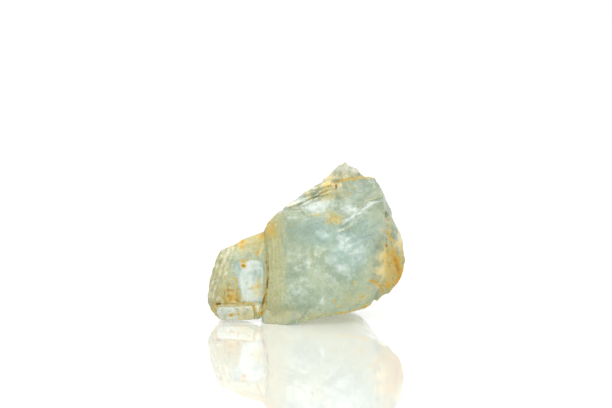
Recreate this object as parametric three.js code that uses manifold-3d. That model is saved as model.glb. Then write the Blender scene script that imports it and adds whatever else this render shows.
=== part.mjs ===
// A rough blue topaz: one hand-sized crystal fragment, broken on every side, standing on a small flat spot.
// Millimetres, +Z up, seen from the front along +Y. The origin is under the middle of the stone, on the
// surface it stands on.
import * as THREE from "three";
import { ConvexGeometry } from "three/addons/geometries/ConvexGeometry.js";
import { TessellateModifier } from "three/addons/modifiers/TessellateModifier.js";
import { ImprovedNoise } from "three/addons/math/ImprovedNoise.js";
import { mergeVertices } from "three/addons/utils/BufferGeometryUtils.js";
import Module from "manifold-3d";

const wasm = await Module();
wasm.setup();

// Driving dimensions
const CRACK_WIDTH = 0.34; // open fissure between the side block and the main mass
const CRACK_MOUTH = -4.6; // how far forward the side block's face lies beside the fissure
const CRACK_REACH = 3.2; // how far the fissure runs in behind that face
const PIT_MOUTH = -7.5; // front of the weathered pit, clear of the face
const PIT_FLOOR = -4.3; // back of the weathered pit
const PIT_TAPER = 0.8; // size of the pit's floor, as a share of its mouth
const CLEAVAGE_SLOPE = 0.3; // rise of the cleavage shelves for each millimetre to the right
const SCAR_FACET = 1.5; // length of the facets that a flake scar is dished with
const FACET_EDGE = 2.4; // longest edge of the finished facets
const WAVES = [
  { reach: 0.16, length: 7.5 },
  { reach: 0.13, length: 3.2 },
  { reach: 0.07, length: 1.7 },
]; // unevenness of the broken faces: how far a face strays, and over what distance
const BASE_CLEARANCE = 1.2; // height over which the unevenness fades out towards the flat spot

const WELD = 1e-4; // corners closer than this are one corner

// A closed geometry as a solid that can be joined and cut.
function solid(geometry) {
  const bare = geometry.clone();
  bare.deleteAttribute("normal");
  bare.deleteAttribute("uv");
  const merged = mergeVertices(bare, WELD);
  return new wasm.Manifold(
    new wasm.Mesh({
      numProp: 3,
      vertProperties: merged.attributes.position.array,
      triVerts: new Uint32Array(merged.index.array),
    }),
  );
}

// A solid's triangles as a geometry with shared vertices.
function geometryOf(body) {
  const mesh = body.getMesh();
  const geometry = new THREE.BufferGeometry();
  geometry.setAttribute("position", new THREE.BufferAttribute(mesh.vertProperties, 3));
  geometry.setIndex(new THREE.BufferAttribute(mesh.triVerts, 1));
  return geometry;
}

// A convex lump of crystal with its corners at these [x, y, z] points.
function lump(corners) {
  return solid(new ConvexGeometry(corners.map((corner) => new THREE.Vector3(...corner))));
}

// Main mass: the broad front face between the fissure, the ridge and the lower edge. Its lowest corners
// hold the small flat spot that the stone stands on.
const mainMass = lump([
  [14.0, -3.0, 21.6], [9.9, -6.3, 20.2], [6.2, -7.6, 18.0], [1.1, -6.4, 19.3], [-3.9, -4.0, 20.3],
  [-4.6, -2.3, 20.1], [-5.6, -2.4, 19.4], [-6.9, -2.6, 17.8], [-7.6, -2.6, 16.5], [-7.0, -4.2, 9.7],
  [-7.5, -5.6, 1.0], [-7.2, -6.6, 0], [-3.8, -5.4, 19.3], [-3.7, -7.9, 10.5], [-3.5, -8.3, 0],
  [2.6, -9.3, 10.4], [8.0, -9.1, 13.2], [3.2, -9.2, 4.9], [8.2, -8.7, 5.2], [14.1, -4.4, 18.2],
  [14.2, -6.2, 13.5], [13.8, -6.2, 8.2], [0.1, -8.0, 1.4], [3.6, -7.8, 2.2], [7.4, -7.3, 2.3],
  [9.2, -6.8, 2.5], [11.0, -5.8, 3.0], [12.0, -5.2, 3.7], [-6.8, 3.6, 0], [-7.2, 7.4, 8.0],
  [-6.2, 6.0, 15.0], [-2.0, 7.6, 17.6], [3.0, 10.2, 12.0], [10.0, 9.6, 12.0], [12.0, 7.6, 17.0],
  [8.6, 10.2, 4.4], [7.6, 6.6, 0], [7.8, 3.4, 0], [-1.0, 7.4, 0], [14.0, 5.0, 6.0], [-7.8, 1.0, 0.4],
  [-7.0, 6.0, 1.6], [9.8, 8.4, 1.8], [-1.0, 9.6, 2.0], [10.4, 4.8, 1.2],
]);

// Right shoulder: the swollen side with its own steep facet.
const rightShoulder = lump([
  [15.4, -0.8, 18.8], [16.2, -1.2, 17.6], [17.4, -2.0, 16.0], [17.8, -2.5, 14.7], [18.0, -3.0, 10.9],
  [17.7, -3.2, 8.9], [17.3, -3.2, 7.6], [16.6, -3.5, 6.6], [15.5, -3.5, 5.5], [15.0, -3.5, 4.9],
  [14.1, -4.2, 4.4], [13.0, -4.6, 4.1], [13.8, -4.0, 18.6], [13.7, -6.0, 13.6], [13.5, -6.0, 9.0],
  [12.8, -5.6, 6.0], [12.4, 6.2, 17.0], [15.2, 4.6, 14.0], [15.6, 4.4, 9.0], [13.2, 5.2, 5.0],
  [6.0, 0, 10.0], [9.0, -2.0, 18.0],
]);

// Upper block: set back behind the ridge, so that the ridge stands out as a ledge.
const upperBlock = lump([
  [6.7, 0.2, 25.6], [11.8, 0.8, 25.9], [12.6, 1.0, 25.4], [13.4, 1.0, 23.9], [14.2, 1.0, 22.4],
  [14.9, 0.8, 21.1], [15.5, 0.8, 19.6], [15.7, 0.3, 17.6], [2.4, -0.5, 24.4], [0.1, -1.0, 23.3],
  [-1.7, -1.5, 22.1], [-3.4, -2.0, 21.1], [-4.2, -2.3, 20.5], [-1.1, -4.6, 19.5], [2.5, -5.0, 19.4],
  [7.0, -4.8, 19.1], [11.6, -3.4, 20.7], [14.3, -2.5, 19.8], [5.0, 5.0, 24.2], [9.6, 5.4, 24.2],
  [2.0, 6.6, 20.4], [10.0, 8.0, 19.0], [-2.4, 6.0, 17.0], [13.0, 5.0, 18.0], [3.0, 8.4, 14.0],
]);

// Knob at the very top.
const topKnob = lump([
  [7.1, 0, 28.8], [7.7, 0.4, 28.6], [8.3, 0.6, 28.0], [9.1, 0.8, 26.8], [10.4, 1.0, 26.1],
  [5.6, 0, 27.6], [4.9, 0.5, 26.5], [3.7, 0.5, 25.4], [2.8, 0.6, 24.6], [7.0, 3.4, 27.4],
  [6.0, 4.2, 24.8], [10.2, 4.0, 24.8], [6.7, -1.6, 26.6], [8.0, -1.4, 26.0], [5.5, -1.2, 25.6],
  [8.0, 1.0, 22.0], [2.2, 0.2, 23.6], [3.4, 1.6, 22.6],
]);

// Side block: lower and set back to the left of the fissure.
const sideBlock = lump([
  [-9.6, -2.2, 15.2], [-7.6, -2.2, 16.3], [-11.6, -2.5, 14.3], [-12.9, -2.8, 13.7], [-14.3, -3.0, 13.2],
  [-15.4, -3.2, 12.7], [-16.1, -3.6, 11.3], [-16.8, -3.8, 9.0], [-17.4, -4.0, 7.7], [-17.6, -4.1, 6.1],
  [-17.9, -4.2, 4.4], [-17.8, -4.2, 3.6], [-17.3, -4.8, 2.3], [-16.5, -5.2, 1.2], [-15.6, -5.6, 0.5],
  [-12.2, -5.8, 0.4], [-8.4, -5.8, 0.5], [-12.4, -4.9, 11.0], [-7.6, -4.2, 11.0], [-7.6, -5.2, 4.1],
  [-12.0, -5.6, 4.1], [-14.6, -5.3, 6.0], [-17.0, 1.0, 3.0], [-16.4, 2.0, 9.0], [-14.0, 3.0, 12.0],
  [-10.0, 3.6, 13.8], [-6.6, 4.4, 14.6], [-6.6, -1.4, 15.8], [-6.6, 6.0, 4.0], [-14.0, 3.0, 1.0],
  [-16.0, 0, 1.0], [-6.4, -4.4, 4.0],
]);

// Small brick-shaped step along the foot of the side block.
const footStep = lump([
  [-15.9, -6.2, 3.1], [-9.7, -6.6, 3.3], [-9.3, -6.7, 1.2], [-10.2, -6.6, 0.6], [-15.3, -6.5, 0.5],
  [-16.4, -5.9, 2.0], [-15.9, -3.2, 3.1], [-9.3, -3.2, 3.3], [-9.2, -3.2, 0.9], [-15.3, -3.2, 0.6],
  [-16.5, -3.2, 2.0],
]);

// Shelves of perfect cleavage along the upper left slope, one stepped behind the other. Each is a thin
// slab: the x, y and z of its front left corner, its length, depth and thickness.
const SHELVES = [
  [-3.7, -3.3, 20.5, 4.8, 3.8, 0.5], [-2.6, -2.9, 21.1, 3.4, 3.0, 0.4], [-0.7, -2.5, 22.1, 4.4, 2.6, 0.6],
  [1.1, -1.9, 23.2, 3.4, 2.2, 0.4],
];
const SHELF_SKEW = { front: -0.25, back: 0.9, fall: 0.08 }; // how far the ends and the top are off square
function shelf([x, y, z, length, depth, thickness]) {
  const corners = [];
  for (const [along, back] of [[0, 0], [length, SHELF_SKEW.front], [length, depth], [SHELF_SKEW.back, depth]])
    for (const up of [0, thickness])
      corners.push([x + along, y + back, z + along * CLEAVAGE_SLOPE - back * SHELF_SKEW.fall + up]);
  return lump(corners);
}

// Fissure: a thin blade swept down the crack line and into the stone from in front of it.
const CRACK_LINE = [
  [-7.9, 17.6], [-7.45, 14.0], [-7.05, 11.8], [-7.0, 9.6], [-7.15, 8.0], [-7.3, 6.0], [-7.45, 4.0],
  [-7.6, 2.2], [-7.8, -0.6],
];
const BLADE_LENGTH = 12;
function fissure() {
  const half = CRACK_WIDTH / 2;
  const left = CRACK_LINE.map(([x, z]) => new THREE.Vector2(x - half, z));
  const right = CRACK_LINE.map(([x, z]) => new THREE.Vector2(x + half, z)).reverse();
  const outline = new THREE.Shape([...left, ...right]);
  const blade = new THREE.ExtrudeGeometry(outline, { depth: BLADE_LENGTH, bevelEnabled: false });
  blade.rotateX(Math.PI / 2);
  return solid(blade.translate(0, CRACK_MOUTH + CRACK_REACH, 0));
}

// Weathered pit in the side block's face: an arched recess with a flat floor.
const PIT_MIDDLE = [-13.4, 5.6];
const PIT_OUTLINE = [[-14.9, 3.3], [-12.1, 3.3], [-11.8, 6.3], [-12.7, 8.1], [-14.0, 8.4], [-15.0, 6.9]];
function pit() {
  const ring = (size, y) =>
    PIT_OUTLINE.map((corner) => {
      const [x, z] = corner.map((value, axis) => PIT_MIDDLE[axis] + (value - PIT_MIDDLE[axis]) * size);
      return [x, y, z];
    });
  return lump([...ring(1, PIT_MOUTH), ...ring(PIT_TAPER, PIT_FLOOR)]);
}

// Flake scars: where each was struck from, and for each one the [x, y, z] that it was struck towards, its
// width and its depth.
const STRIKES = [
  {
    from: [0, -1, 0],
    scars: [
      [9.7, 0, 23.8, 6.6, 0.9], [12.1, 0, 23.7, 4.4, 0.4], [6.6, 0, 21.4, 4.8, 0.5], [1.3, 0, 20.7, 3.8, 0.5],
      [4.0, 0, 21.8, 4.0, 0.5], [-10.6, 0, 13.0, 3.4, 0.25], [3.6, 0, 17.6, 3.6, 0.3],
      [11.4, 0, 4.6, 4.4, 0.25], [5.2, 0, 3.8, 5.6, 0.3], [-1.6, 0, 3.0, 4.4, 0.3],
    ],
  },
  {
    from: [0, 1, 0],
    scars: [
      [8.6, 0, 21.0, 8.0, 0.7], [3.4, 0, 20.6, 6.4, 0.5], [7.6, 0, 14.4, 9.0, 0.6], [0.4, 0, 15.0, 7.0, 0.5],
      [12.6, 0, 12.0, 6.0, 0.35], [4.6, 0, 8.2, 7.6, 0.5], [-2.6, 0, 9.4, 7.0, 0.5],
      [10.4, 0, 6.4, 5.6, 0.4], [0.2, 0, 3.8, 5.4, 0.35], [6.6, 0, 3.4, 4.6, 0.3],
      [-5.2, 0, 4.4, 4.2, 0.3], [-10.4, 0, 10.6, 5.4, 0.35], [-12.6, 0, 6.2, 6.0, 0.35],
      [-9.2, 0, 5.2, 5.0, 0.3], [7.4, 0, 24.6, 3.0, 0.25],
    ],
  },
  {
    from: [1, 0, 0],
    scars: [[0, 1.8, 11.4, 4.8, 0.3], [0, 3.2, 21.4, 3.8, 0.3], [0, 2.6, 7.0, 3.4, 0.2]],
  },
];
const STANDOFF = 40; // how far out the search for a strike's place on the stone starts

// The place and outward direction where a blow first meets the stone.
function meet(body, towards, from) {
  const target = new THREE.Mesh(geometryOf(body));
  const start = new THREE.Vector3(...towards).addScaledVector(from, STANDOFF);
  const hit = new THREE.Raycaster(start, from.clone().negate()).intersectObject(target)[0];
  return { point: hit.point, outward: hit.face.normal };
}

// The ball whose cap leaves a dished scar of this width and depth at a point of a face.
function scar(point, outward, width, depth) {
  const radius = (width * width / 4 + depth * depth) / (2 * depth);
  const centre = point.clone().addScaledVector(outward, radius - depth);
  const detail = Math.max(2, Math.round(radius / SCAR_FACET) - 1);
  const ball = new THREE.IcosahedronGeometry(radius, detail);
  return solid(ball.translate(centre.x, centre.y, centre.z));
}

// Moves every corner by a smooth random field, so that flat faces stray as broken ones do.
const FIELD_OFFSETS = [3.7, 21.3, 47.9]; // one for each axis, so that the three shifts differ
function uneven(geometry) {
  const noise = new ImprovedNoise();
  const position = geometry.attributes.position;
  const p = new THREE.Vector3();
  for (let i = 0; i < position.count; i += 1) {
    p.fromBufferAttribute(position, i);
    const shift = FIELD_OFFSETS.map((offset) =>
      WAVES.reduce((sum, { reach, length }) => {
        const [x, y, z] = [p.x / length + offset, p.y / length + offset, p.z / length - offset];
        return sum + 2 * reach * noise.noise(x, y, z);
      }, 0),
    );
    const free = Math.min(1, Math.max(0, p.z / BASE_CLEARANCE));
    p.addScaledVector(new THREE.Vector3(...shift), free);
    position.setXYZ(i, p.x, p.y, p.z);
  }
  return geometry;
}

// The stone: the lumps and shelves grown together, then struck, pitted and cracked.
let stone = mainMass;
for (const part of [rightShoulder, upperBlock, topKnob, sideBlock, footStep]) stone = stone.add(part);
for (const place of SHELVES) stone = stone.add(shelf(place));
for (const { from, scars } of STRIKES) {
  const direction = new THREE.Vector3(...from);
  for (const [x, y, z, width, depth] of scars) {
    const { point, outward } = meet(stone, [x, y, z], direction);
    stone = stone.subtract(scar(point, outward, width, depth));
  }
}
stone = stone.subtract(pit()).subtract(fissure());

const MOST_SPLITS = 24;
const fine = new TessellateModifier(FACET_EDGE, MOST_SPLITS).modify(geometryOf(stone).toNonIndexed());
const topaz = new THREE.Mesh(
  uneven(mergeVertices(fine, WELD)),
  new THREE.MeshStandardMaterial({ color: 0xaec3b9, roughness: 0.3, metalness: 0 }),
);
topaz.name = "rough_topaz";

// The origin goes under the middle of the finished stone.
const middle = new THREE.Box3().setFromObject(topaz).getCenter(new THREE.Vector3());
topaz.geometry.translate(-middle.x, -middle.y, 0);
const group = new THREE.Group();
group.add(topaz);
export default group;
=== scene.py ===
import math

import bmesh
import bpy
import numpy as np
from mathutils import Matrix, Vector, noise


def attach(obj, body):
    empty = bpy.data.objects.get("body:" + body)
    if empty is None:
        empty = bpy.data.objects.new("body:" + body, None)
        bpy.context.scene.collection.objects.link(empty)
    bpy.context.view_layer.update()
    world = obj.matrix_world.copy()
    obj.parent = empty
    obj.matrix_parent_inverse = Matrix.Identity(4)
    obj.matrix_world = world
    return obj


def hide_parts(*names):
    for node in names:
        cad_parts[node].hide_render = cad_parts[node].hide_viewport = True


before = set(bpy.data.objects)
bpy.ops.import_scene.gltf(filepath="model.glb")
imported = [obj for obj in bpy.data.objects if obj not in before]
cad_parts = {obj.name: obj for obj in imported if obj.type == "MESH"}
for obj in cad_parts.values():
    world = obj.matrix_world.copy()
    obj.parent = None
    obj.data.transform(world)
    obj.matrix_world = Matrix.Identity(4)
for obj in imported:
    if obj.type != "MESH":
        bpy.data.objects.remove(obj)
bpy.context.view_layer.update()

# Camera. It looks at the stone's broad face a little from above, from far enough away that the stone
# shows almost without perspective. Lengths in this file are in mm, and MM turns them into metres.
MM = 0.001
LOOK_DOWN = math.radians(8.0)
LOOK_FROM = 310.0
LOOK_AT = Vector((-0.108, -0.414, 20.811))
away = Vector((0.0, -math.cos(LOOK_DOWN), math.sin(LOOK_DOWN)))
lens = bpy.data.cameras.new("camera")
lens.lens = 100.0
lens.sensor_width = 36.0
camera = bpy.data.objects.new("camera", lens)
camera.location = (LOOK_AT + LOOK_FROM * away) * MM
camera.rotation_euler = (math.pi / 2 - LOOK_DOWN, 0.0, 0.0)
bpy.context.collection.objects.link(camera)
bpy.context.scene.camera = camera

# The stone's body. A solid piece of topaz, split from a bigger crystal: a fine grid is laid over the
# faceted solid, the pit and the hollow in the middle are worn soft, and every point is then moved as the
# breaks, steps and cracks run.
X, Y, Z = 0, 1, 2
GRID = 0.2
SOFTEN_ROUNDS = 2
WORN_ROUNDS = 14
WORN_PLACES = [((-13.7, -5.2, 5.7), 2.9), ((2.8, -8.2, 15.8), 3.4)]
shape = bmesh.new()
shape.from_mesh(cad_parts["rough_topaz"].data)
bmesh.ops.remove_doubles(shape, verts=shape.verts, dist=0.001 * MM)
stone_mesh = bpy.data.meshes.new("topaz_stone")
shape.to_mesh(stone_mesh)
shape.free()
stone = bpy.data.objects.new("topaz_stone", stone_mesh)
bpy.context.collection.objects.link(stone)
grid = stone.modifiers.new("fine grid", "REMESH")
grid.mode = "VOXEL"
grid.voxel_size = GRID * MM
remeshed = bpy.data.meshes.new_from_object(stone.evaluated_get(bpy.context.evaluated_depsgraph_get()))
stone.modifiers.clear()


def soften(verts, rounds):
    """Draws each of these points of the shape toward its neighbours, this many times."""
    for _ in range(rounds):
        bmesh.ops.smooth_vert(
            shape, verts=verts, factor=0.5, use_axis_x=True, use_axis_y=True, use_axis_z=True,
        )


shape = bmesh.new()
shape.from_mesh(remeshed)
soften(shape.verts, SOFTEN_ROUNDS)
for middle, reach in WORN_PLACES:
    worn = [vert for vert in shape.verts if (vert.co - Vector(middle) * MM).length < reach * MM]
    soften(worn, WORN_ROUNDS)
shape.normal_update()
place = np.array([vert.co[:] for vert in shape.verts]) / MM
outward = np.array([vert.normal[:] for vert in shape.verts])


def ease(value, low, high):
    """0 below low, 1 above high and a smooth rise between them."""
    share = np.clip((value - low) / (high - low), 0.0, 1.0)
    return share * share * (3.0 - 2.0 * share)


def waves(points, length, offset):
    """A smooth random field from -1 to 1, this far from crest to crest; each offset gives another field."""
    return np.array([noise.noise(Vector(p) / length + Vector((offset, -offset, offset))) for p in points])


def scallops(points, size, offset):
    """Dishes of about this size that meet in sharp ridges: 0 in a dish, 1 on the highest ridges."""
    shift = Vector((offset, offset, -offset))
    return np.array([min(1.0, noise.voronoi(Vector(p) / size + shift)[0][0] ** 2) for p in points])


def off_line(points, line):
    """Distance of each point from a line through these places."""
    nearest = np.full(len(points), 1e9)
    for start, end in zip(np.array(line[:-1], float), np.array(line[1:], float)):
        along = end - start
        share = np.clip((points - start) @ along / (along @ along), 0.0, 1.0)
        nearest = np.minimum(nearest, np.linalg.norm(points - start - share[:, None] * along, axis=1))
    return nearest


def off_line_in_front(points, line, depth_share=0.3):
    """Distance from a line as it is seen from the front: depth counts for this share only."""
    return off_line(points * (1.0, depth_share, 1.0), [(x, depth_share * y, z) for x, y, z in line])


def patch(points, centre, half_sizes):
    """1 in the middle of an oval patch, 0 on its edge, less outside it."""
    return 1.0 - np.linalg.norm((points - np.array(centre, float)) / np.array(half_sizes, float), axis=1)


def best(fields):
    """The highest of several fields, point by point."""
    return np.max(np.array(fields), axis=0)


def spots(points, rows):
    """The highest of several oval patches; a row is a patch's strength, centre and half sizes."""
    return best([strength * patch(points, centre, half_sizes) for strength, centre, half_sizes in rows])


def streaks(points, rows):
    """The highest of several lines; a row is a line's strength, the width it fades over, and its places."""
    return best([strength - off_line(points, line) / width for strength, width, line in rows])


def ledge(points, line, reach):
    """1 just above a line that runs across the front, fading over this reach upward, 0 below the line."""
    line = np.array(line, float)
    first, last = line[0, X], line[-1, X]
    above = points[:, Z] - np.interp(points[:, X], line[:, X], line[:, Z])
    inside = ease(points[:, X], first - 0.3, first + 0.8) * ease(-points[:, X], -last - 0.3, 0.8 - last)
    return inside * ease(above, -0.12, 0.12) * ease(-above, -reach, 0.0)


# Broken faces: dished flake scars of several sizes that meet in ridges, over a fine grain. The two old
# cleavage faces on the side block, the window and the brick below it, stayed much smoother.
MEAN_SCALLOP = 0.3
side = place[:, X]
height = place[:, Z]
front = ease(-outward[:, Y], 0.1, 0.5)
behind = ease(outward[:, Y], -0.3, 0.3)
ragged = 0.25 * waves(place, 1.4, 31.0)
window = front * ease(side + ragged + 0.22 * (height - 4.0), -12.9, -11.4) * ease(-side, 7.6, 7.9)
window *= ease(height + ragged, 3.6, 4.0)
window *= ease(-height - 2.0 * ragged, -11.2, -10.7)
brick = front * ease(side + ragged, -16.7, -16.2) * ease(ragged - side, 9.3, 9.6)
brick *= ease(0.7 * ragged - height, -3.4, -3.1)
smooth = 1.0 - 0.85 * np.maximum(window, 0.7 * brick)
shelves = ease(spots(place, [
    (1.0, (-1.5, -2.0, 22.2), (4.6, 4.5, 2.4)),
    (1.0, (2.6, -1.5, 23.9), (2.6, 4.5, 1.5)),
]), 0.0, 0.3)
rugged = ease(waves(place, 9.0, 4.0), -0.25, 0.3)
flakes = scallops(place * (1.0, 1.0, 0.8), 3.8, 5.3)
moved = np.zeros(len(place))
moved += (0.32 + 0.2 * behind) * (flakes - MEAN_SCALLOP) * (0.5 + 0.5 * rugged)
moved += (0.14 + 0.1 * behind) * (scallops(place, 1.7, 7.0) - MEAN_SCALLOP) * rugged
moved += 0.03 * (scallops(place, 0.9, 3.0) - MEAN_SCALLOP) * rugged
moved += 0.03 * waves(place, 1.1, 9.0)
moved *= smooth * (1.0 - 0.8 * shelves)
moved -= 0.12 * window

# Cleavage: fine steps that rise to the right, parallel to the shelves at the upper left, where they are
# closest together. The step edge highlights are painted highlights: pale strips on the outer edges of the
# steps on the shelves.
CLEAVAGE = np.array([-0.36, -0.12, 0.92])
CLEAVAGE /= np.linalg.norm(CLEAVAGE)


def up_the_step(step):
    """How far up its cleavage step each point lies, 0 at the foot and 1 at the edge, for steps this high."""
    level = place @ CLEAVAGE + 0.25 * step * waves(place, 5.0, 11.0)
    return level / step - np.floor(level / step)


wide_steps = up_the_step(1.3)
shelf_steps = up_the_step(0.7)
for steps, depth, where in [
    (wide_steps, 0.1, ease(waves(place, 7.0, 15.0), 0.0, 0.35)),
    (shelf_steps, 0.28, shelves),
]:
    moved += depth * where * smooth * (ease(steps, 0.0, 0.85) - ease(steps, 0.88, 1.0) - 0.35)
step_edge_highlights = shelves * ease(shelf_steps, 0.6, 0.85) * ease(-shelf_steps, -0.98, -0.88)
step_edge_highlights = step_edge_highlights * ease(waves(place, 1.3, 19.0), -0.5, 0.1) - 0.3

# Growth lines: the left end of the side block is ribbed from top to bottom, leaning with the outline, and
# the narrow face beside the fissure has fine upright ones. The crests of the ribs and of other edges are
# bruised to a cream colour. The same cream is also painted light: painted highlights on the edges of the
# shelf steps and on the right rim, and lighter paint over the shaded groove below the peak and over the
# right end, which faces away from the lamps.
ribs = np.sin((side - 0.3 * height) * 7.5 + 2.5 * waves(place, 2.5, 21.0))
ribbed = front * ease(0.3 * height - side, 15.4, 17.4) * ease(height, 3.6, 4.4)
moved += 0.07 * ribs * ribbed
upright = front * ease(-np.abs(side + 5.4), -2.4, -1.2)
moved += 0.035 * upright * np.sin(side * 9.0 + 3.0 * waves(place * (1.0, 1.0, 0.3), 2.5, 23.0))
cream_and_painted_light = best([
    step_edge_highlights,
    (0.52 + 0.08 * ribs) * ribbed - 0.4,
    0.68 * ease(height, 24.4, 25.8) * ease(-side, -10.5, -8.5) - 0.37,
    spots(place, [
        (0.5, (-8.9, -6.0, 2.4), (0.8, 1.2, 1.6)),
        (0.4, (-2.2, -3.2, 20.8), (1.4, 1.5, 0.8)),
        # painted light: lighter cream over the shaded groove below the peak
        (0.55, (4.2, -1.0, 24.7), (2.8, 2.6, 1.3)),
        # painted highlight on the right rim
        (0.25, (16.8, -3.4, 14.8), (1.9, 3.0, 4.4)),
        # painted light: lighter cream on the right end, which faces away from the lamps
        (0.4, (13.4, -6.0, 10.5), (2.6, 3.5, 6.0)),
    ]),
])

# Cracks and ledges, each a line over the front from place to place: the fissure beside the side block and
# its branch, the groove round the brick, the small arc at the lower right, and three ledges that break
# away upward: the diagonal lip, the one to the left below it and the one near the top.
FISSURE = [
    (-7.6, -4.2, 16.6), (-7.7, -4.4, 15.0), (-7.6, -4.6, 13.0), (-7.2, -4.8, 11.5), (-7.2, -5.3, 9.5),
    (-7.3, -5.5, 7.9), (-7.5, -5.6, 5.6), (-7.8, -5.7, 3.0), (-8.1, -5.8, 1.0),
]
BRANCH = [(-7.6, -3.4, 15.8), (-7.9, -3.6, 14.6), (-8.2, -3.8, 13.6), (-8.6, -4.0, 12.8), (-8.9, -4.2, 12.2)]
BRICK_TOP = [
    (-16.8, -5.4, 3.2), (-15.0, -5.8, 3.3), (-12.9, -5.8, 3.4), (-9.9, -5.9, 3.5), (-9.5, -6.0, 3.0),
    (-9.3, -6.1, 2.2), (-9.1, -6.2, 1.2),
]
ARC = [(11.4, -7.4, 7.8), (12.1, -7.1, 7.8), (12.8, -6.6, 7.3), (13.4, -5.5, 6.4), (13.6, -5.1, 5.4)]
LIP = [
    (5.8, -7.8, 17.9), (7.0, -7.6, 18.4), (8.3, -6.9, 19.2), (9.8, -5.6, 20.1), (11.1, -4.3, 21.0),
    (12.6, -2.7, 21.5), (14.1, -0.6, 21.8),
]
UNDER = [(1.4, -5.3, 18.8), (2.4, -5.6, 18.9), (4.2, -6.4, 18.9), (4.8, -7.2, 18.0), (5.8, -7.8, 17.8)]
UPPER = [(0.4, -3.0, 22.6), (3.0, -2.6, 22.6), (5.4, -2.8, 22.9), (8.0, -2.6, 23.6)]
fissure = off_line_in_front(place, FISSURE, 0.35)
branch = off_line_in_front(place, BRANCH, 0.35)
brick_top = off_line(place, BRICK_TOP)
arc = off_line_in_front(place, ARC)
moved -= 0.35 * ease(-fissure, -0.45, -0.1) * ease(height, 1.5, 4.0) + 0.12 * ease(-branch, -0.35, -0.05)
moved -= 0.22 * ease(-brick_top, -0.3, -0.05) + 0.12 * ease(-arc, -0.3, 0.0)
moved += front * (
    0.5 * ledge(place, LIP, 3.0) + 0.35 * ledge(place, UNDER, 2.4) + 0.25 * ledge(place, UPPER, 1.6)
)

# Single places: small dishes in the worn hollow, deeper ones at the right end, a ragged corner at the
# upper right and a fuller foot on both sides of the peak. The flat spot that the stone stands on stays flat.
for relief, centre, half_sizes, full in [
    (0.14 * (scallops(place, 1.9, 29.0) - MEAN_SCALLOP), (2.8, -8.2, 15.6), (3.0, 3.0, 2.8), 0.6),
    (0.4 * (scallops(place, 2.4, 21.0) - MEAN_SCALLOP), (14.6, -5.0, 11.5), (2.6, 4.0, 6.5), 0.4),
    (0.3 * waves(place, 0.8, 33.0), (12.1, -1.0, 25.0), (1.6, 3.0, 2.0), 0.5),
    (0.15, (5.4, 0.0, 27.2), (1.8, 3.0, 1.6), 0.6),
    (0.4, (8.9, 0.0, 27.2), (1.8, 3.0, 1.6), 0.6),
]:
    moved += relief * ease(patch(place, centre, half_sizes), 0.0, full)
free = ease(place[:, Z], 0.15, 1.5)
place += outward * (moved * free)[:, None]

# Straight shifts: the floor of the pit comes forward, the edge at the lower right is evened out and the
# gap at the foot of the fissure closes.
pit = ease(place[:, Y], -5.7, -4.8)
for axis, shift, centre, half_sizes, full in [
    (Y, -0.75 * pit, (-13.5, -4.8, 5.8), (2.6, 2.4, 3.9), 0.35),
    (Z, -0.4, (12.2, -4.0, 3.4), (2.0, 6.0, 2.0), 0.9),
    (Z, 0.6, (14.3, -4.0, 3.2), (1.7, 6.0, 2.0), 0.6),
    (X, -0.7, (-7.1, -4.5, 0.6), (1.3, 4.5, 2.0), 0.5),
]:
    place[:, axis] += shift * ease(patch(place, centre, half_sizes), 0.0, full)
place[:, Z] = np.maximum(place[:, Z], 0.0)
for vert, spot in zip(shape.verts, place):
    vert.co = Vector(spot) * MM
shape.to_mesh(stone_mesh)
shape.free()
stone_mesh.shade_smooth()

# Where the colours lie: each is a field over the surface, 0 on the edge of a part and rising into it. It
# wanders a little from the lines of the cracks and edges that it follows.
place = place + 0.3 * np.stack([waves(place, 1.2, offset) for offset in (91.0, 93.0, 97.0)], axis=1)
before = ease(-place[:, Y], -1.0, 0.5)
broken = waves(place, 0.8, 55.0)
below_lip = off_line_in_front(place, [(x, y, z - 0.9) for x, y, z in LIP])
cream_and_painted_light = best([cream_and_painted_light, 0.45 - below_lip / 0.7])

# Hairline cracks on the sides and the back: nearly flat breaks that cut the surface here and there. A row
# is the way a break faces, its distance from the origin and the offset of its random field.
VEIN_WIDTH = 0.22
veins = best([
    0.5 - np.abs(place @ np.array(facing) - distance + bend) / VEIN_WIDTH
    - 4.0 * ease(waves(place, 6.5, offset + 9.0), -0.1, 0.15)
    for facing, distance, offset in [
        ((0.93, -0.1, 0.35), 1.5, 41.0),
        ((0.8, 0.3, -0.52), -9.5, 43.0),
        ((0.35, 0.2, 0.91), 17.5, 47.0),
        ((0.97, 0.1, -0.2), 11.0, 53.0),
        ((-0.36, -0.12, 0.92), 9.0, 57.0),
    ]
    for bend in [1.1 * waves(place, 5.0, offset) + 0.25 * waves(place, 1.2, offset)]
]) - 2.0 * ease(-outward[:, Y], -0.2, 0.3)

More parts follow.
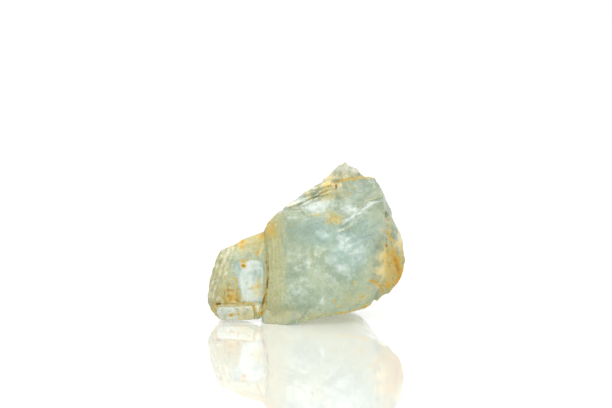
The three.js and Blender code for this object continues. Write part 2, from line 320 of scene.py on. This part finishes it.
# Iron stains: rust that water carried in along the cracks and edges and left in the hollows, amber where it
# is thin, ochre to brown where it is thick.
RIM = [(17.6, -3.0, 8.2), (16.6, -3.6, 6.0), (14.8, -3.6, 4.4)]
FOOT = [(5.2, -8.0, 2.2), (8.7, -7.2, 2.4), (11.5, -6.0, 3.2), (13.5, -4.5, 4.4)]
rust = best([
    0.9 - fissure / 0.26,
    0.6 - branch / 0.38 + 0.7 * broken,
    0.7 - brick_top / 0.36,
    0.85 - arc / 0.4,
    0.8 - off_line_in_front(place, RIM) / 0.9,
    0.6 - off_line_in_front(place, FOOT) / 0.5,
    0.8 - off_line(place, [(14.5, -3.9, 18.8), (15.0, -3.2, 18.3)]) / 0.6 + 0.9 * broken,
    veins,
    streaks(place, [
        (0.35, 0.8, [
            (-14.0, -3.0, 13.6), (-11.9, -3.4, 14.5), (-9.0, -3.0, 15.5), (-7.2, -3.2, 17.4),
            (-5.4, -3.6, 19.4),
        ]),
        (0.35, 0.35, [(-10.6, -4.9, 11.5), (-8.2, -4.7, 11.7)]),
        (0.9, 0.3, [(-13.8, -5.3, 8.4), (-12.9, -5.5, 7.8), (-12.5, -5.7, 6.6)]),
        (0.6, 0.7, [(-17.0, -5.4, 2.2), (-16.2, -6.0, 0.9), (-13.0, -6.6, 0.5), (-10.0, -6.6, 0.6)]),
        (0.8, 0.5, [(6.1, -1.1, 25.1), (7.2, -0.2, 25.3), (9.4, 0.7, 25.4), (11.6, 0.7, 25.7)]),
        (0.65, 0.6, [(14.6, -5.0, 16.4), (15.0, -4.6, 15.4), (15.7, -4.4, 14.2), (15.6, -4.6, 12.6)]),
        (0.85, 1.7, [(15.4, -4.8, 12.4), (16.2, -4.5, 10.2), (17.0, -4.0, 8.4), (16.5, -4.0, 6.9)]),
        (0.9, 0.25, [(8.5, -9.0, 8.5), (8.6, -9.0, 7.4)]),
    ]),
    spots(place, [
        # round the top of the fissure and on the slope of the side block
        (0.55, (-6.7, -3.6, 17.0), (1.5, 3.0, 2.4)),
        (0.5, (-8.2, -3.0, 15.2), (1.9, 2.0, 1.1)),
        (0.6, (-11.9, -3.4, 14.2), (1.9, 2.0, 0.9)),
        (0.9, (-11.9, -4.0, 13.4), (0.5, 1.5, 0.8)),
        (0.8, (-11.4, -5.0, 11.1), (0.7, 1.5, 0.5)),
        (1.4, (-11.3, -5.1, 10.2), (0.55, 1.0, 0.5)),
        # in the pit, on the brick and between it and the fissure
        (0.85, (-13.7, -5.0, 4.6), (2.5, 2.0, 2.0)),
        (0.7, (-15.5, -5.6, 4.7), (0.5, 1.0, 1.0)),
        (1.0, (-16.4, -5.8, 2.9), (0.7, 1.0, 0.5)),
        (1.3, (-13.6, -6.9, 1.4), (0.45, 1.0, 0.4)),
        (1.1, (-12.4, -7.0, 1.8), (0.4, 1.0, 0.5)),
        (0.35, (-10.8, -6.4, 1.4), (1.8, 1.5, 1.3)),
        (0.28, (-8.5, -5.6, 6.5), (1.1, 1.2, 1.4)),
        (1.0, (-8.4, -6.0, 1.6), (0.7, 1.2, 0.6)),
        # below the peak and along the ledges
        (1.3, (5.3, -1.6, 24.2), (0.35, 1.2, 0.7)),
        (0.2, (4.0, -1.4, 24.3), (2.6, 2.2, 1.3)),
        (0.35, (3.4, -2.4, 23.0), (3.0, 2.0, 0.9)),
        (0.6, (2.8, -5.4, 19.3), (1.6, 1.4, 0.5)),
        (0.55, (4.8, -6.6, 19.0), (1.4, 2.0, 1.2)),
        (0.9, (5.8, -7.2, 18.5), (0.4, 1.0, 0.6)),
        (1.0, (-2.9, -7.6, 17.9), (0.4, 1.5, 0.5)),
        # at the right end
        (0.5, (13.6, -5.6, 13.8), (1.0, 1.5, 1.0)),
        (0.8, (14.6, -5.2, 11.7), (1.9, 2.5, 2.7)),
        (0.38, (15.6, -4.8, 9.2), (3.0, 3.5, 5.2)),
        (0.6, (15.0, -5.0, 6.8), (2.0, 2.0, 1.8)),
        # low on the front
        (1.0, (10.0, -7.3, 4.9), (0.4, 1.0, 0.35)),
        (1.0, (5.3, -9.0, 4.5), (0.3, 1.0, 0.5)),
        (1.0, (5.7, -8.5, 3.4), (0.7, 1.0, 0.35)),
    ]),
])

# Fillings: dark brown iron oxide packed into the fissure, its branch, the groove round the brick
# and a few pinholes.
dark = best([
    0.55 - fissure / 0.21 + 0.8 * waves(place, 1.6, 51.0),
    0.2 - branch / 0.3 + 0.9 * broken,
    0.35 - brick_top / 0.25,
    0.55 - off_line(place, [(14.6, -3.8, 18.6), (15.0, -3.4, 18.4)]) / 0.5 + 0.9 * broken,
    spots(place, [
        (1.0, (-7.2, -5.0, 10.7), (0.4, 1.5, 1.3)),
        (0.7, (-14.0, -4.6, 5.8), (1.0, 1.5, 0.3)),
        (0.1, (-13.8, -5.0, 4.6), (2.2, 2.0, 1.7)),
        (1.5, (-16.0, -5.7, 3.3), (0.7, 1.5, 0.3)),
        (1.0, (5.3, -1.8, 24.0), (0.3, 0.8, 0.5)),
        (1.0, (14.2, -5.2, 13.9), (0.35, 1.0, 0.3)),
    ]),
])

# Milky parts: fine cracks just under the surface that whiten the window, the brick and the middle of the
# broad face. The same milky white is painted as highlights in strips just above the ledges and on the edges
# of the shelf steps.
milk_and_highlights = best([
    0.8 * ease(waves(place, 4.0, 61.0), 0.1, 0.6) * behind - 0.4,
    ease(flakes, 0.75, 1.0) - 0.75,
    window * (0.75 + 0.55 * ease(-np.abs(side + 10.3), -2.6, -0.2)) - 0.5,
    brick - 0.45,
    # painted highlights: pale strips just above the three ledges
    1.5 * before * ledge(place, LIP, 0.9) - 0.5,
    1.2 * before * ledge(place, UNDER, 0.5) - 0.5,
    1.1 * before * ledge(place, UPPER, 0.5) - 0.5,
    # painted highlights on the edges of the shelf steps
    2.0 * step_edge_highlights + 0.2,
    1.1 * ease(height, 25.2, 27.0) - 0.6,
    streaks(place, [(0.25, 0.5, [(-2.4, -6.5, 19.6), (-2.3, -7.6, 16.0), (-2.4, -8.0, 13.2)])]),
    spots(place, [
        (1.5, (-15.8, -5.6, 4.4), (0.7, 1.2, 0.6)),
        (0.6, (-1.5, -2.6, 21.9), (3.6, 2.5, 1.6)),
        (1.0, (2.0, -3.6, 20.7), (4.2, 3.0, 1.9)),
        (1.0, (8.2, -5.4, 20.4), (3.4, 2.6, 1.0)),
        (0.5, (7.0, -8.8, 15.0), (1.9, 2.0, 3.2)),
        (0.45, (9.2, -8.8, 12.9), (2.8, 2.0, 2.0)),
        (0.5, (6.0, -9.3, 10.6), (3.0, 2.0, 2.6)),
        (0.3, (0.0, -8.9, 10.6), (2.4, 2.0, 2.6)),
        (0.55, (-1.4, -8.9, 6.2), (1.9, 1.5, 1.5)),
        (0.8, (2.8, -9.3, 4.9), (0.7, 1.5, 1.1)),
        (0.7, (16.8, -3.8, 14.6), (1.4, 2.6, 4.2)),
    ]),
])

# Olive parts: a thin yellow film of iron on the narrow face beside the fissure, on the side block, along
# the foot and at the right end.
olive = best([
    1.1 * ease(waves(place, 8.0, 71.0), -0.1, 0.4) * behind - 0.5,
    1.15 - 2.0 * np.abs(side + 5.9) / 4.6 - 2.0 * ease(outward[:, Y], -0.3, 0.2),
    1.1 * ease(-side, 12.0, 15.0) - 0.4,
    0.75 * ease(-side, 8.0, 8.6) - 0.5,
    1.2 * ease(-side, 7.0, 8.0) * ease(height, 10.5, 13.0) - 0.5,
    1.3 * ease(side, 11.0, 16.0) * ease(-height, -15.0, -10.0) - 0.5,
    1.2 * ease(-height, -3.5, -1.5) * ease(side, -4.0, 0.0) - 0.5,
    ease(height, 24.5, 26.0) - 0.5,
    1.3 * before * ledge(place, [(x, y, z + 0.9) for x, y, z in LIP], 0.8) - 0.5,
    spots(place, [
        (0.7, (-8.5, -5.5, 6.6), (1.0, 1.5, 2.6)),
        (0.9, (-14.2, -5.0, 7.2), (1.6, 1.5, 1.8)),
        (0.9, (-4.5, -8.0, 2.0), (4.0, 3.0, 3.0)),
        (0.4, (1.0, -9.0, 12.9), (3.0, 2.0, 3.0)),
        (0.9, (9.5, -7.8, 4.6), (4.5, 3.0, 2.4)),
        (0.9, (13.6, -6.0, 11.0), (2.4, 3.5, 6.0)),
        (0.8, (15.0, -3.4, 18.6), (2.4, 3.5, 3.6)),
    ]),
])

# Bluer parts, where the stone is clearest, and the tone: lighter and darker flake scars, the broad middle
# a little darker and the upper right lighter. The right end, which faces away from the lamps, is painted
# lighter: painted light.
blue = best([
    1.2 * window - 0.5,
    spots(place, [
        (0.8, (3.0, -8.0, 17.0), (6.0, 4.0, 4.0)),
        (0.8, (10.0, -6.0, 16.0), (6.0, 4.0, 6.0)),
        (0.4, (9.0, -2.0, 22.5), (5.0, 4.0, 4.0)),
        (1.4, (7.6, -8.8, 13.6), (4.6, 3.0, 5.0)),
    ]),
])
tone_and_painted_light = flakes - 0.4
for change, centre, half_sizes in [
    (-1.6, (-0.5, -8.4, 14.0), (4.5, 3.5, 6.5)),
    (0.8, (11.0, -3.0, 21.0), (6.0, 5.0, 8.0)),
    # painted light: the right end, turned away from the lamps, made lighter
    (1.0, (14.0, -5.5, 9.0), (4.5, 5.0, 8.0)),
]:
    tone_and_painted_light += change * np.maximum(0.0, patch(place, centre, half_sizes))
for name, values in {
    "rust": rust, "dark": dark, "milk_and_highlights": milk_and_highlights, "olive": olive,
    "blue": blue, "window": window, "tone_and_painted_light": tone_and_painted_light, "cream_and_painted_light": cream_and_painted_light,
}.items():
    kept = stone_mesh.attributes.new(name, "FLOAT", "POINT")
    kept.data.foreach_set("value", np.clip(values, -1.0, 1.0).astype(np.float32))
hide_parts("rough_topaz")
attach(stone, "root")


class Signal:
    """A value or colour in a material, so that shader maths reads as plain expressions."""

    def __init__(self, tree, socket):
        self.tree = tree
        self.socket = socket

    def node(self, kind, settings, sockets, output=0):
        made = self.tree.nodes.new(kind)
        for name, value in settings.items():
            setattr(made, name, value)
        for name, value in sockets.items():
            if isinstance(value, Signal):
                self.tree.links.new(value.socket, made.inputs[name])
            else:
                made.inputs[name].default_value = value
        return Signal(self.tree, made.outputs[output])

    def feed(self, socket):
        """Links this value to a shader's socket."""
        self.tree.links.new(self.socket, socket)

    def math(self, operation, first, second=0.0):
        return self.node("ShaderNodeMath", {"operation": operation}, {0: first, 1: second})

    def __add__(self, other):
        return self.math("ADD", self, other)

    def __radd__(self, other):
        return self.math("ADD", other, self)

    def __sub__(self, other):
        return self.math("SUBTRACT", self, other)

    def __rsub__(self, other):
        return self.math("SUBTRACT", other, self)

    def __mul__(self, other):
        return self.math("MULTIPLY", self, other)

    def __rmul__(self, other):
        return self.math("MULTIPLY", other, self)

    def highest(self, other):
        return self.math("MAXIMUM", self, other)

    def ease(self, low, high):
        return self.node(
            "ShaderNodeMapRange",
            {"interpolation_type": "SMOOTHSTEP"},
            {"Value": self, "From Min": low, "From Max": high},
        )

    def blend(self, under, over):
        """This value as the share of the colour over in a mix of two colours."""
        return self.node("ShaderNodeMix", {"data_type": "RGBA"}, {0: self, 6: under, 7: over}, output=2)


# Topaz: clear with a milky cast, pale blue-green inside, frosted where it broke roughly, with iron
# stains in its cracks and hollows. Stains, milky parts and the cream and white painted highlights and
# painted light hide the clear stone under an opaque crust.
DEEP = (0.41, 0.51, 0.39, 1.0)
LIGHT = (0.63, 0.70, 0.51, 1.0)
OLIVE = (0.67, 0.63, 0.325, 1.0)
OLIVE_DARK = (0.30, 0.28, 0.10, 1.0)
BLUE = (0.50, 0.69, 0.68, 1.0)
MILK_AND_HIGHLIGHT = (0.85, 0.93, 0.90, 1.0)
CREAM_AND_PAINTED_LIGHT = (0.96, 0.90, 0.69, 1.0)
AMBER = (0.83, 0.64, 0.17, 1.0)
OCHRE = (0.82, 0.44, 0.015, 1.0)
BROWN = (0.19, 0.09, 0.004, 1.0)
topaz = bpy.data.materials.new("topaz")
topaz.use_nodes = True
tree = topaz.node_tree
clear = tree.nodes["Principled BSDF"]
at = Signal(tree, tree.nodes.new("ShaderNodeTexCoord").outputs["Object"])


def noise_at(where, size, detail):
    scale = 1.0 / (size * MM)
    return where.node("ShaderNodeTexNoise", {}, {"Vector": where, "Scale": scale, "Detail": detail})


def field(name):
    return at.node("ShaderNodeAttribute", {"attribute_name": name}, {}, output=2)


cloud = noise_at(at, 6.0, 3.0)
blotch = noise_at(at, 2.2, 5.0)
grain = noise_at(at, 0.8, 4.0)
speck_and_sparkle = noise_at(at, 0.35, 1.0)
drawn_out = at.node("ShaderNodeVectorMath", {"operation": "MULTIPLY"}, {0: at, 1: (1.0, 1.0, 0.12)})
streak = noise_at(drawn_out, 0.7, 2.0)
rusty = field("rust") + (grain - 0.5) + (blotch - 0.5)
stained = rusty.ease(0.1, 0.8)
filled = (field("dark") + (grain - 0.5) * 1.2).ease(-0.1, 0.45)
cream_and_painted_light_share = (field("cream_and_painted_light") + (blotch - 0.5) + (grain - 0.5) * 0.6).ease(0.0, 0.55)
milk_and_highlight_share = field("milk_and_highlights") + (blotch - 0.5) * 1.3 + (grain - 0.5) * 1.3 + field("window") * (streak - 0.5) * 1.6
milk_and_highlight_share = milk_and_highlight_share.ease(-0.1, 0.85)
shade = cloud + 0.2 * field("tone_and_painted_light") + 0.5 * (blotch - 0.5) + 0.5 * (grain - 0.5)
colour = shade.ease(0.32, 0.68).blend(DEEP, LIGHT)
colour = (field("olive") + (blotch - 0.5) * 1.1 + (streak - 0.5) * 0.9).ease(-0.1, 0.8).blend(colour, OLIVE)
colour = ((field("blue") + (blotch - 0.5) * 1.4).ease(-0.1, 0.8) * 0.8).blend(colour, BLUE)
# milky white, with the painted highlights on the ledges and step edges
colour = (milk_and_highlight_share * 0.95).blend(colour, MILK_AND_HIGHLIGHT)
# cream: bruised edges, plus painted highlights and painted light
colour = cream_and_painted_light_share.blend(colour, CREAM_AND_PAINTED_LIGHT)
# painted highlights: tiny white sparkles scattered over the surface
colour = (speck_and_sparkle.ease(0.65, 0.71) * 0.8).blend(colour, MILK_AND_HIGHLIGHT)
colour = ((1.0 - speck_and_sparkle.ease(0.26, 0.31)) * 0.6).blend(colour, OLIVE_DARK)
colour = (rusty.ease(-0.3, 0.35) * 0.8).blend(colour, AMBER)
colour = stained.blend(colour, OCHRE)
colour = (rusty.ease(0.5, 1.1) * 0.75).blend(colour, BROWN)
colour = (grain.ease(0.66, 0.72) * 0.5).blend(colour, AMBER)
colour = filled.blend(colour, BROWN)
relief = at.node("ShaderNodeBump", {}, {"Strength": 0.35, "Distance": 0.04 * MM, "Height": grain})
colour.feed(clear.inputs["Base Color"])
relief.feed(clear.inputs["Normal"])
(0.14 + 0.22 * blotch.ease(0.35, 0.7) + 0.2 * stained).feed(clear.inputs["Roughness"])
(0.15 + 0.45 * blotch.ease(0.38, 0.62)).feed(clear.inputs["Coat Weight"])
clear.inputs["Coat Roughness"].default_value = 0.13
clear.inputs["IOR"].default_value = 1.62
clear.inputs["Transmission Weight"].default_value = 0.65
clear.inputs["Subsurface Weight"].default_value = 0.4
clear.inputs["Subsurface Radius"].default_value = (1.0, 1.2, 1.0)
clear.inputs["Subsurface Scale"].default_value = 1.5 * MM
crust = tree.nodes.new("ShaderNodeBsdfPrincipled")
crust.inputs["Roughness"].default_value = 0.35
colour.feed(crust.inputs["Base Color"])
relief.feed(crust.inputs["Normal"])
cover = (stained * 0.5).highest(filled.highest(cream_and_painted_light_share * 0.75)).highest(milk_and_highlight_share * 0.4)
both = tree.nodes.new("ShaderNodeMixShader")
(0.15 + 0.85 * cover).feed(both.inputs[0])
tree.links.new(clear.outputs[0], both.inputs[1])
tree.links.new(crust.outputs[0], both.inputs[2])
tree.links.new(both.outputs[0], tree.nodes["Material Output"].inputs["Surface"])
tint = tree.nodes.new("ShaderNodeVolumeAbsorption")
tint.inputs["Color"].default_value = (0.70, 0.86, 0.70, 1.0)
tint.inputs["Density"].default_value = 45.0
tree.links.new(tint.outputs[0], tree.nodes["Material Output"].inputs["Volume"])
stone_mesh.materials.clear()
stone_mesh.materials.append(topaz)

# Floor: a plain polished white surface for the stone to stand on, wide enough to run out of sight. It is
# the picture's stage and no part of the stone.
floor_mesh = bpy.data.meshes.new("floor")
floor_shape = bmesh.new()
bmesh.ops.create_grid(floor_shape, x_segments=1, y_segments=1, size=1.5)
floor_shape.to_mesh(floor_mesh)
floor_shape.free()
floor = bpy.data.objects.new("floor", floor_mesh)
bpy.context.collection.objects.link(floor)
gloss = bpy.data.materials.new("white gloss")
gloss.use_nodes = True
surface = gloss.node_tree.nodes["Principled BSDF"]
surface.inputs["Base Color"].default_value = (0.55, 0.55, 0.53, 1.0)
surface.inputs["Emission Color"].default_value = (1.0, 1.0, 0.97, 1.0)
surface.inputs["Emission Strength"].default_value = 0.35
surface.inputs["Roughness"].default_value = 0.03
surface.inputs["IOR"].default_value = 1.5
surface.inputs["Coat Weight"].default_value = 1.0
surface.inputs["Coat Roughness"].default_value = 0.03
floor_mesh.materials.append(gloss)

# Light: a white sky, a little darker toward the viewer, a wide soft light that falls from above the viewer
# and a small one from the upper left.
world = bpy.data.worlds.new("white")
bpy.context.scene.world = world
world.use_nodes = True
sky = world.node_tree
back = sky.nodes["Background"]
back.inputs["Color"].default_value = (1.0, 1.0, 1.0, 1.0)
way = Signal(sky, sky.nodes.new("ShaderNodeTexCoord").outputs["Generated"])
into_picture = way.node("ShaderNodeSeparateXYZ", {}, {"Vector": way}, output=1)
seen = Signal(sky, sky.nodes.new("ShaderNodeLightPath").outputs["Is Camera Ray"])
lit = 0.92 + 0.16 * into_picture.ease(-0.7, 0.4)
seen.node("ShaderNodeMix", {}, {0: seen, 2: lit, 3: 1.0}).feed(back.inputs["Strength"])

lamp = bpy.data.lights.new("small light", "AREA")
lamp.size = 80.0 * MM
lamp.energy = 0.1
light = bpy.data.objects.new("small light", lamp)
light.location = Vector((-150.0, -170.0, 260.0)) * MM
light.rotation_euler = Vector((-150.0, -170.0, 250.0)).to_track_quat("Z", "Y").to_euler()
bpy.context.collection.objects.link(light)
lamp = bpy.data.lights.new("soft light", "SUN")
lamp.energy = 1.2
lamp.angle = math.radians(60.0)
light = bpy.data.objects.new("soft light", lamp)
light.rotation_euler = Vector((-0.08, -0.5, 1.0)).to_track_quat("Z", "Y").to_euler()
bpy.context.collection.objects.link(light)

bpy.context.scene.view_settings.view_transform = "Standard"
bpy.context.view_layer.update()
